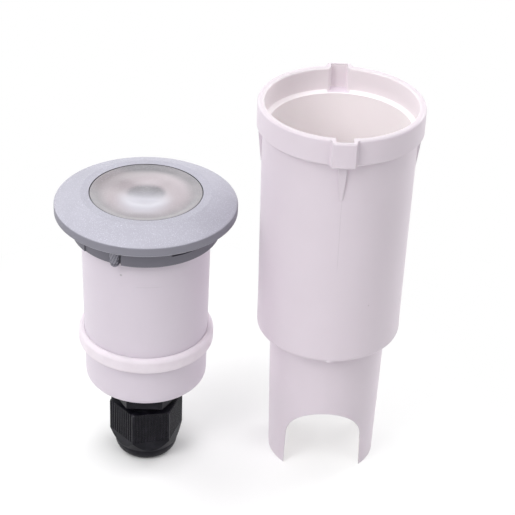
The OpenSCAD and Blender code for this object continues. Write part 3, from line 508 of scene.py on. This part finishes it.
def frosted():
    """The lens's frosted plastic, with light and shade painted into its colour."""
    finish = Finish("lens_frosted_clear", Subsurface_Weight=0.15,
                    Subsurface_Radius=(0.003, 0.0027, 0.0028), Subsurface_Scale=0.5, IOR=1.75)
    place = arm(finish, LAMP)
    out = from_axis(finish, LAMP)
    frost = noise(finish, 0.28, 3, 0.6)
    cloud = noise(finish, 5)
    # Greyer toward the edge: painted shade on the groove.
    tone = blend(finish, step(finish, out, *GREYER), LENS_WARM, LENS_GREY_PAINTED_SHADE)
    tone = blend(finish, step(finish, cloud, 0.35, 0.65) * 0.15, tone, LENS_CLOUD)
    # The back half of the hollow is painted dark: painted shade.
    hollow = 1 - step(finish, out, *HOLLOW_R)
    back = step(finish, split(finish, place, "Y"), *HOLLOW_BACK)
    tone = blend(finish, hollow * back * 0.95, tone, HOLLOW_PAINTED_SHADE)
    # Soft patches of painted light and painted shade.
    for centre, reach, full, much, colour in LENS_PAINTED_LIGHT_AND_SHADE:
        tone = blend(finish, patch(finish, place, centre, reach, full) * much, tone, colour)
    tone = blend(finish, step(finish, frost, 0.56, 0.7) * 0.4, tone, FROST)
    # The lens's rim is painted dark: painted shade in the gap.
    tone = blend(finish, step(finish, out, *LENS_EDGE) * 0.9, tone, GAP_PAINTED_SHADE)
    finish.feed("Base Color", tone)
    finish.feed("Roughness", 0.32 + frost * 0.12)
    relief(finish, [(frost, 0.012)])
    return finish.material


lens_frosted = frosted()
print("finish:", lens_frosted.name)

# %% [markdown]
# New pieces are turned, wound or extruded with bmesh operators. `turned` draws a half outline once
# round an upright axis with `spin`, which gives far smoother shading than the frame's short cones.
# `finished` makes the object and keeps its sharp edges sharp.

# %% Finish and spin a mesh
SPIN_STEPS = 160


def finished(name, mesh, sharp=35):
    """Makes the object of a mesh, smooth but for edges sharper than that angle."""
    data = bpy.data.meshes.new(name)
    mesh.to_mesh(data)
    mesh.free()
    data.shade_smooth()
    data.set_sharp_from_angle(angle=math.radians(sharp))
    piece = bpy.data.objects.new(name, data)
    bpy.context.scene.collection.objects.link(piece)
    return piece


def turned(name, outline, centre):
    """Spins an outline of (radius, height) points in mm round an upright axis."""
    mesh = bmesh.new()
    points = [mesh.verts.new((centre.x + r * MM, centre.y, z * MM)) for r, z in outline]
    edges = [mesh.edges.new(pair) for pair in zip(points, points[1:])]
    bmesh.ops.spin(mesh, geom=points + edges, cent=centre, axis=(0, 0, 1),
                   angle=2 * math.pi, steps=SPIN_STEPS, use_merge=True)
    bmesh.ops.remove_doubles(mesh, verts=mesh.verts, dist=1e-6)
    bmesh.ops.recalc_face_normals(mesh, faces=mesh.faces)
    return finished(name, mesh)


print("helpers: finished, turned")

# %% [markdown]
# The lens's face is one smooth relief: a round hollow in the middle, a broad crest and a shallow
# groove near the edge. Three half waves describe it, each from one turning point to the next, so
# the slope is level where they meet.

# %% Turn the lens
LENS_LOW, LENS_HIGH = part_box("lens")
LENS_R = 19.9
FACE_R = 19.75
LENS_RIM_H = 2.9
RIM_ROUND = 0.15
BOWL_R, BOWL = 11, 2.7
GROOVE_R, GROOVE = 16.8, 0.7
RELIEF_STEPS = 66


def fall(radius):
    """How far the lens's face lies below its highest level, all in mm."""
    if radius < BOWL_R:
        return BOWL * (1 + math.cos(math.pi * radius / BOWL_R)) / 2
    if radius < GROOVE_R:
        return GROOVE * (1 - math.cos(math.pi * (radius - BOWL_R) / (GROOVE_R - BOWL_R))) / 2
    return GROOVE * (1 + math.cos(math.pi * (radius - GROOVE_R) / (LENS_R - GROOVE_R))) / 2


top_z = LENS_HIGH.z / MM
low_z = LENS_LOW.z / MM
rim_r = (LENS_HIGH.x - LENS_LOW.x) / 2 / MM
face_r = [FACE_R * i / RELIEF_STEPS for i in range(RELIEF_STEPS + 1)]
face = [(r, top_z - fall(r)) for r in face_r]
rim = [(0, low_z), (rim_r, low_z), (rim_r, low_z + LENS_RIM_H), (LENS_R, low_z + LENS_RIM_H),
       (LENS_R, top_z - RIM_ROUND)]
lens_disc = turned("lens_disc", rim + face[::-1], LAMP)
lens_disc.data.materials.append(lens_frosted)
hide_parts("lens")
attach(lens_disc, "lens_pack")
print(f"lens: {len(lens_disc.data.polygons)} faces, top at {top_z:.2f} mm")

# %% [markdown]
# ## The ring's grip studs
# Two studs on the skirt catch in the sleeve's channels. Each is cast with twisted teeth, like a
# short length of rope. A star of a few points is extruded upward in small steps and turned a
# little at each step, which twists its teeth. The first steps swell from a small foot, and the
# last one ends inside the flange.

# %% Twist a post
TEETH = 9
STUD_IN, STUD_OUT = 1.48, 1.82
STUD_STEPS = 14
STUD_TWIST = math.radians(150)
STUD_SINK = 0.3 * MM
FOOT = (0.62, 0.86, 0.97)


def twisted_post():
    """The mesh of one post round the origin's axis, from the ring's foot into its flange."""
    mesh = bmesh.new()
    star = bmesh.ops.create_circle(mesh, cap_ends=True, segments=2 * TEETH, radius=STUD_OUT * MM)
    share = STUD_IN / STUD_OUT
    bmesh.ops.scale(mesh, verts=star["verts"][::2], vec=(share, share, 1))
    bmesh.ops.scale(mesh, verts=star["verts"], vec=(FOOT[0], FOOT[0], 1))
    bmesh.ops.translate(mesh, verts=star["verts"], vec=(0, 0, RING_LOW.z))
    rise = (FLANGE_Z + STUD_SINK - RING_LOW.z) / STUD_STEPS
    twist = Matrix.Rotation(STUD_TWIST / STUD_STEPS, 3, "Z")
    top, grown = mesh.faces[:], FOOT[0]
    for number in range(STUD_STEPS):
        made = bmesh.ops.extrude_face_region(mesh, geom=top)["geom"]
        corners = [item for item in made if isinstance(item, bmesh.types.BMVert)]
        top = [item for item in made if isinstance(item, bmesh.types.BMFace)]
        full = FOOT[number + 1] if number + 1 < len(FOOT) else 1
        bmesh.ops.scale(mesh, verts=corners, vec=(full / grown, full / grown, 1))
        bmesh.ops.rotate(mesh, verts=corners, matrix=twist)
        bmesh.ops.translate(mesh, verts=corners, vec=(0, 0, rise))
        grown = full
    return mesh


print(f"post: {TEETH} teeth, {math.degrees(STUD_TWIST):.0f} degrees of twist")

# %% [markdown]
# The post is moved out to the skirt. The part inside the skirt's wall is cut away with
# `bisect_plane`, so that the thread stays free, and the cut is closed. Only then is it turned
# round the lamp to its place.

# %% Set the studs on the skirt
STUD_AT = 25.75
STUD_CUT = 25.0
STUD_TURNS = (-111.1, 68.9)
STUD_SHARP = 50


def grip_stud(name, turn):
    """A twisted stud on the ring's skirt, at that angle in degrees round the lamp."""
    mesh = twisted_post()
    bmesh.ops.translate(mesh, verts=mesh.verts, vec=(STUD_AT * MM, 0, 0))
    kept = mesh.verts[:] + mesh.edges[:] + mesh.faces[:]
    bmesh.ops.bisect_plane(mesh, geom=kept, dist=1e-7, plane_co=(STUD_CUT * MM, 0, 0),
                           plane_no=(-1, 0, 0), clear_outer=True)
    bmesh.ops.holes_fill(mesh, edges=mesh.edges)
    bmesh.ops.rotate(mesh, verts=mesh.verts, matrix=Matrix.Rotation(math.radians(turn), 3, "Z"))
    bmesh.ops.translate(mesh, verts=mesh.verts, vec=LAMP)
    bmesh.ops.triangulate(mesh, faces=mesh.faces)
    bmesh.ops.recalc_face_normals(mesh, faces=mesh.faces)
    return finished(name, mesh, STUD_SHARP)


for number, turn in enumerate(STUD_TURNS):
    stud = grip_stud(f"grip_stud_{number + 1}", turn)
    stud.data.materials.append(stud_powder)
    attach(stud, "trim")
    print(f"{stud.name}: {len(stud.data.polygons)} faces")

# %% [markdown]
# ## Black nylon and rubber
# The cable gland is glass-filled nylon: nearly black, satin, with a faint mottle, and its corners
# are painted lighter, as a painted highlight. Its washer, its seal and the lens's gasket are
# rubber, and the coil's core and the driver's chips are dark too, with their edges painted lighter
# in the same way. Their gloss is turned down, because a dark surface shows every bit of the white
# room.

# %% The dark finishes
def dark(name, colour, pale, rough, grain_mm, depth, edge_highlight):
    """A dark moulding whose high spots are paler and whose edges are painted paler, a painted
    highlight.
    """
    finish = Finish(name, IOR=1.5, Specular_IOR_Level=0.14)
    mottle = noise(finish, 2.5, 4)
    grain = noise(finish, grain_mm, 3)
    rounded, edge = soften(finish, 0.25)
    tone = blend(finish, step(finish, mottle, 0.4, 0.75) * 0.5, colour, pale)
    # Edges are painted paler: a painted highlight.
    finish.feed("Base Color", blend(finish, edge * edge_highlight, tone, pale))
    finish.feed("Roughness", rough + mottle * 0.12)
    relief(finish, [(mottle, 0.012), (grain, depth)], rounded)
    return finish.material


nylon = dark("gland_nylon_black", (0.006, 0.0058, 0.0095), (0.026, 0.025, 0.033),
             rough=0.34, grain_mm=0.3, depth=0.006, edge_highlight=0.6)
gland_rubber = dark("gland_rubber_grey", (0.02, 0.02, 0.023), (0.06, 0.06, 0.065),
                    rough=0.6, grain_mm=0.5, depth=0.01, edge_highlight=0.3)
gasket_rubber = dark("gasket_silicone_grey", (0.05, 0.05, 0.056), (0.12, 0.12, 0.13),
                     rough=0.55, grain_mm=0.4, depth=0.008, edge_highlight=0.3)
ferrite = dark("core_ferrite_grey", (0.04, 0.04, 0.044), (0.12, 0.12, 0.125),
               rough=0.55, grain_mm=0.35, depth=0.015, edge_highlight=0.8)
epoxy = dark("chip_epoxy_black", (0.012, 0.012, 0.013), (0.05, 0.05, 0.05),
             rough=0.5, grain_mm=0.12, depth=0.004, edge_highlight=0.5)
print("finishes:", nylon.name, gland_rubber.name, gasket_rubber.name, ferrite.name, epoxy.name)

# %% [markdown]
# ## What is inside
# The light engine and the driver are hidden at rest, and they are finished all the same, because
# the model can be opened. The heat sink is turned, so fine rings run round its axis. The screws
# are plated steel with random scratches.

# %% Metal with tool marks
RING_PITCH = 0.35 * MM
WORN_METAL = (0.86, 0.86, 0.88)


def machined(name, colour, rough, rings):
    """Bare metal, turned with fine rings round the lamp's axis or brushed at random."""
    finish = Finish(name, Metallic=1.0)
    cloud = noise(finish, 5, 3)
    scratch = noise(finish, 0.6, 4, 0.7)
    rounded, edge = soften(finish, 0.15)
    if rings:
        out = from_axis(finish, LAMP) * (2 * math.pi / RING_PITCH)
        marks = finish.node("ShaderNodeMath", {"operation": "SINE"}, {0: out})
    else:
        marks = scratch
    tone = blend(finish, step(finish, cloud, 0.3, 0.7), colour, tuple(c * 0.88 for c in colour))
    finish.feed("Base Color", blend(finish, edge * 0.5, tone, WORN_METAL))
    finish.feed("Roughness", rough + scratch * 0.14)
    relief(finish, [(marks, 0.003), (scratch, 0.004)], rounded)
    return finish.material


sink_metal = machined("sink_aluminium_turned", (0.70, 0.71, 0.73), rough=0.3, rings=True)
screw_metal = machined("screw_steel_plated", (0.62, 0.62, 0.64), rough=0.26, rings=False)
print("finishes:", sink_metal.name, screw_metal.name)

# %% [markdown]
# The small mouldings and coats inside are even in colour: a drift between two close tones, a
# brighter edge and a grain are enough for them. The reflector is the smoothest, so that it throws
# the light up, and the soft pad under the light board is the coarsest.

# %% Plain inner plastics
def glazed(name, colour, shade, rough, grain_mm=0.4, depth=0.006, **sockets):
    """An inner moulding or coat in two close tones of one colour."""
    finish = Finish(name, **sockets)
    drift = noise(finish, 4, 3)
    grain = noise(finish, grain_mm, 2)
    rounded, edge = soften(finish, 0.2)
    tone = blend(finish, step(finish, drift, 0.3, 0.7), colour, shade)
    # Edges are painted brighter: a painted highlight.
    bright = tuple(min(1, c * 1.25) for c in colour)
    finish.feed("Base Color", blend(finish, edge * 0.3, tone, bright))
    finish.feed("Roughness", rough + grain * 0.1)
    relief(finish, [(drift, 0.02), (grain, depth)], rounded)
    return finish.material


reflector_white = glazed("reflector_white_gloss", (0.84, 0.84, 0.84), (0.80, 0.80, 0.81),
                         rough=0.18)
phosphor = glazed("led_phosphor_yellow", (0.86, 0.66, 0.12), (0.80, 0.58, 0.09),
                  rough=0.4, grain_mm=0.15)
pad_blue = glazed("pad_silicone_blue", (0.22, 0.36, 0.55), (0.19, 0.32, 0.50),
                  rough=0.62, grain_mm=0.8, depth=0.02)
wire_red = glazed("wire_red_silicone", (0.36, 0.012, 0.012), (0.30, 0.01, 0.01), rough=0.42)
wire_black = glazed("wire_black_silicone", (0.014, 0.014, 0.014), (0.02, 0.02, 0.02), rough=0.42)
terminal_green = glazed("terminal_green_nylon", (0.03, 0.23, 0.10), (0.025, 0.2, 0.085),
                        rough=0.4)
print("finishes: reflector, phosphor, pad, wires, terminal")

# %% [markdown]
# Under a circuit board's lacquer the copper shows as a lighter relief. A brick pattern makes runs
# of copper with gaps, turned on its side for the upright board, and cells make the round vias.

# %% Circuit boards
VIA_TIN = (0.62, 0.60, 0.55)
BOARD_EDGE = (0.55, 0.52, 0.36)


def lacquered(name, lacquer, copper, up):
    """A circuit board whose copper runs show through; up is its face's direction."""
    finish = Finish(name, Coat_Weight=0.4, IOR=1.5)
    turn = (math.pi / 2, 0, 0) if up == "Y" else (0, 0, 0)
    flat = finish.node("ShaderNodeMapping", {}, {"Vector": finish.place, "Rotation": turn})
    runs = finish.node("ShaderNodeTexBrick", {"offset": 0.37}, {
        "Vector": flat, "Scale": 1 / (9 * MM), "Mortar Size": 0.06, "Mortar Smooth": 0.1,
        "Brick Width": 0.5, "Row Height": 0.17}, "Fac")
    via = 1 - step(finish, cells(finish, 3.1, "Distance"), 0.12, 0.16)
    weave = noise(finish, 0.5, 2)
    rounded, edge = soften(finish, 0.12)
    tone = blend(finish, step(finish, noise(finish, 3, 3), 0.3, 0.7), lacquer,
                 tuple(c * 0.85 for c in lacquer))
    tone = blend(finish, runs * 0.7, tone, copper)
    tone = blend(finish, via, tone, VIA_TIN)
    finish.feed("Base Color", blend(finish, edge * 0.6, tone, BOARD_EDGE))
    finish.feed("Roughness", 0.3 + weave * 0.12)
    relief(finish, [(runs, 0.03), (weave, 0.004)], rounded)
    return finish.material


board_green = lacquered("board_green_lacquer", (0.012, 0.10, 0.035), (0.03, 0.19, 0.07), "Y")
board_white = lacquered("led_board_white_lacquer", (0.80, 0.80, 0.77), (0.70, 0.70, 0.66), "Z")
print("finishes:", board_green.name, board_white.name)

# %% [markdown]
# The capacitor's sleeve is dark shrink film with a pale stripe down one side, and its bare
# aluminium end shows above the film.

# %% The capacitor
CAP_LOW, CAP_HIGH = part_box("driver_capacitor")
STRIPE = (CAP_LOW.x + 1.2 * MM, CAP_LOW.x + 1.3 * MM)
BARE_END = (CAP_HIGH.z - 0.5 * MM, CAP_HIGH.z - 0.4 * MM)
FILM_DARK, FILM_PALE = (0.012, 0.014, 0.06), (0.45, 0.47, 0.55)
BARE_METAL = (0.72, 0.72, 0.74)


def capacitor_film():
    """Shrink film with its stripe, and the bare end of the can."""
    finish = Finish("capacitor_film_blue", Coat_Weight=0.3)
    stripe = 1 - step(finish, split(finish, finish.place, "X"), *STRIPE)
    end = step(finish, split(finish, finish.place, "Z"), *BARE_END)
    wrinkle = noise(finish, 1.5, 3)
    rounded, edge = soften(finish, 0.2)
    tone = blend(finish, stripe, FILM_DARK, FILM_PALE)
    finish.feed("Base Color", blend(finish, end, tone, BARE_METAL))
    finish.feed("Metallic", end * 0.9)
    finish.feed("Roughness", 0.22 + wrinkle * 0.1 + edge * 0.1)
    relief(finish, [(wrinkle, 0.02)], rounded)
    return finish.material


cap_film = capacitor_film()
print("finish:", cap_film.name)

# %% [markdown]
# Each carried-over node keeps its exact shape and takes its finish through its material slot.

# %% Dress the nodes
FINISH_OF = {
    "mounting_sleeve": sleeve_white, "housing": housing_white, "centering_band": band_white,
    "trim_ring": powder, "lens_gasket": gasket_rubber, "reflector": reflector_white,
    "led_board": board_white, "led_chips": phosphor, "board_screws": screw_metal,
    "thermal_pad": pad_blue, "heat_sink": sink_metal, "sink_screws": screw_metal,
    "led_wire_red": wire_red, "led_wire_black": wire_black, "driver_board": board_green,
    "driver_capacitor": cap_film, "inductor_core": ferrite, "driver_chips": epoxy,
    "terminal_block": terminal_green, "terminal_screws": screw_metal, "gland_body": nylon,
    "gland_washer": gland_rubber, "gland_lock_nut": nylon, "gland_seal": gland_rubber,
    "dome_nut": nylon,
}
for node, material in FINISH_OF.items():
    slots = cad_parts[node].data.materials
    for index in range(len(slots)):
        slots[index] = material
print("nodes dressed:", len(FINISH_OF))

# %% [markdown]
# ## The inductor's winding
# The frame has a plain ring where enamelled wire is wound on the ferrite core. Here it is real
# wire: a small circle spun round the core's axis while it moves along it, which makes one
# unbroken helix.

# %% Wind the coil
WIND_LOW, WIND_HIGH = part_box("inductor_winding")
WIND_MID = (WIND_LOW + WIND_HIGH) / 2
WIRE_R = 0.27 * MM
WIRE_GAP = 0.02 * MM
WIRE_SIDES = 8
TURN_STEPS = 28
ENAMEL, ENAMEL_DEEP = (0.62, 0.25, 0.10), (0.48, 0.17, 0.06)


def enamelled():
    """Copper wire under clear enamel."""
    finish = Finish("winding_enamel_copper", Metallic=0.85, Coat_Weight=0.5)
    shade = noise(finish, 1.2, 3)
    tone = blend(finish, step(finish, shade, 0.3, 0.7), ENAMEL, ENAMEL_DEEP)
    finish.feed("Base Color", tone)
    finish.feed("Roughness", 0.2 + shade * 0.1)
    relief(finish, [(shade, 0.01)])
    return finish.material


copper = enamelled()
pitch = 2 * WIRE_R + WIRE_GAP
turns = int((WIND_HIGH.y - WIND_LOW.y - 2 * WIRE_R) / pitch)
outer_r = (WIND_HIGH.x - WIND_LOW.x) / 2 - WIRE_R
mesh = bmesh.new()
start = Vector((WIND_MID.x + outer_r, WIND_HIGH.y - WIRE_R, WIND_MID.z))
wire = bmesh.ops.create_circle(mesh, cap_ends=True, segments=WIRE_SIDES, radius=WIRE_R)["verts"]
bmesh.ops.translate(mesh, verts=wire, vec=start)
bmesh.ops.spin(mesh, geom=mesh.faces[:] + mesh.edges[:] + wire, cent=WIND_MID, axis=(0, 1, 0),
               angle=2 * math.pi * turns, steps=TURN_STEPS * turns,
               dvec=(0, -pitch / TURN_STEPS, 0))
bmesh.ops.recalc_face_normals(mesh, faces=mesh.faces)
winding = finished("wire_winding", mesh)
winding.data.materials.append(copper)
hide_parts("inductor_winding")
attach(winding, "lamp")
print(f"winding: {turns} turns of {2 * WIRE_R / MM:.2f} mm wire")

# %% [markdown]
# ## The domes on the light chips
# Each of the five chips carries a low dome of clear resin over its phosphor. The dome is the top
# of a sphere, flattened and cut level with the chip.

# %% Put the domes on the chips
CHIP_LOW, CHIP_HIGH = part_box("led_chips")
CHIP_W = 5.0
CHIP_PLACES = [(0, 0), (1, 1), (-1, 1), (-1, -1), (1, -1)]
DOME_R = 1.9 * MM
DOME_H = 0.5 * MM


def resin_dome(name, x, y):
    """A low dome on the chip whose centre is at x, y from the lamp's axis."""
    mesh = bmesh.new()
    bmesh.ops.create_uvsphere(mesh, u_segments=28, v_segments=16, radius=DOME_R)
    bmesh.ops.bisect_plane(mesh, geom=mesh.verts[:] + mesh.edges[:] + mesh.faces[:], dist=1e-7,
                           plane_co=(0, 0, 0), plane_no=(0, 0, -1), clear_outer=True)
    bmesh.ops.holes_fill(mesh, edges=mesh.edges)
    bmesh.ops.scale(mesh, verts=mesh.verts, vec=(1, 1, DOME_H / DOME_R))
    bmesh.ops.translate(mesh, verts=mesh.verts, vec=(LAMP.x + x, LAMP.y + y, CHIP_HIGH.z))
    bmesh.ops.recalc_face_normals(mesh, faces=mesh.faces)
    return finished(name, mesh)


resin = glazed("led_resin_amber", (0.88, 0.60, 0.10), (0.80, 0.50, 0.06), rough=0.12,
               Coat_Weight=0.6)
reach = (CHIP_HIGH.x - CHIP_LOW.x) / 2 - CHIP_W / 2 * MM
for number, (x, y) in enumerate(CHIP_PLACES):
    dome = resin_dome(f"resin_dome_{number + 1}", x * reach, y * reach)
    dome.data.materials.append(resin)
    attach(dome, "lamp")
print("domes:", len(CHIP_PLACES), "at", round(reach / MM, 2), "mm from the middle lines")

# %% [markdown]
# ## Floor, backdrop and light
# The pair stands on a plain white floor that runs out to white. For the camera, and for what
# gloss and clear parts show of it, the floor adds a little light of its own, which lifts it to
# pure white. It adds least round the gland, which darkens the floor there as a painted shadow on
# top of the soft shadow that the lights cast. Far from the lamp it is plain white.

# %% Lay the floor
FLOOR_WHITE, FLOOR_SHADE = (0.80, 0.80, 0.80), (0.79, 0.79, 0.79)
FLOOR_LIFT = 0.18
GLAND_PAINTED_SHADOW_RISE = (10 * MM, 26 * MM)
FLOOR_FADE = (20 * MM, 150 * MM)
FLOOR_HALF = 4.0
FLOOR_DROP = 0.02 * MM
PURE_WHITE = (1, 1, 1, 1)


def seen(tree):
    """1 for rays that meet the camera straight, by gloss or through a clear part."""
    return sum(tree.node("ShaderNodeLightPath", out=f"Is {kind} Ray")
               for kind in ("Camera", "Glossy", "Transmission"))


def floor_finish():
    """White paper that lights itself for the rays that show it."""
    finish = Finish("floor_white", Roughness=0.9, Specular_IOR_Level=0.0)
    shade = noise(finish, 60)
    out = from_axis(finish, LAMP)
    finish.feed("Base Color", blend(finish, shade, FLOOR_WHITE, FLOOR_SHADE))
    # Less lift round the gland: a painted shadow there.
    lift = FLOOR_LIFT * (0.3 + 0.7 * step(finish, out, *GLAND_PAINTED_SHADOW_RISE))
    glow = finish.node("ShaderNodeEmission", {}, {
        "Color": PURE_WHITE, "Strength": seen(finish) * lift})
    near = finish.node("ShaderNodeAddShader", {}, {
        0: Value(finish, finish.shader.outputs[0]), 1: glow})
    paper = finish.node("ShaderNodeEmission", {}, {"Color": PURE_WHITE, "Strength": 1.0})
    both = finish.node("ShaderNodeMixShader", {}, {
        0: seen(finish) * step(finish, out, *FLOOR_FADE), 1: near, 2: paper})
    finish.shader = finish.nodes["Material Output"]
    finish.feed("Surface", both)
    return finish.material


mesh = bmesh.new()
bmesh.ops.create_grid(mesh, x_segments=8, y_segments=8, size=FLOOR_HALF)
floor = finished("floor", mesh)
floor.data.materials.append(floor_finish())
floor.location.z = -FLOOR_DROP
print("floor:", 2 * FLOOR_HALF, "m across")

# %% [markdown]
# The light is a plain studio set: a broad softbox overhead, high ones at the front, large ones
# behind and an even white room. Each box has its place and size in millimetres and its power in
# watts, and all of them face the middle of the pair. The room gives a little fill, and it is pure
# white where the camera or a gloss sees it.

# %% Hang the lights
ROOM_FILL = 0.06
LIT_POINT = Vector((0, 0, 70)) * MM
SOFTBOXES = {
    "softbox_top": ((0, 0, 1300), 1200, 9.6),
    "softbox_high_left": ((-800, 0, 1050), 700, 2.0),
    "softbox_high_left_front": ((-650, -650, 950), 600, 7.2),
    "softbox_high_right_front": ((650, -650, 950), 600, 3.4),
    "softbox_left_front": ((-850, -850, 500), 700, 1.5),
    "softbox_left_back": ((-850, 750, 500), 700, 4.6),
    "softbox_right_back": ((850, 750, 500), 700, 7.3),
    "softbox_back": ((0, 1300, 400), 900, 1.8),
}


def softbox(name, at, size, watts):
    """A square area light at a place in mm that faces the middle of the pair."""
    data = bpy.data.lights.new(name, "AREA")
    data.shape = "SQUARE"
    data.size = size * MM
    data.energy = watts
    light = bpy.data.objects.new(name, data)
    bpy.context.scene.collection.objects.link(light)
    light.location = Vector(at) * MM
    light.rotation_mode = "QUATERNION"
    light.rotation_quaternion = (LIT_POINT - light.location).to_track_quat("-Z", "Y")


for name, (at, size, watts) in SOFTBOXES.items():
    softbox(name, at, size, watts)

world = bpy.data.worlds.new("studio")
studio = Tree(world, "Background")
studio.shader.inputs["Color"].default_value = PURE_WHITE
studio.feed("Strength", ROOM_FILL + seen(studio) * (1 - ROOM_FILL))
bpy.context.scene.world = world
bpy.context.scene.view_settings.view_transform = "Standard"
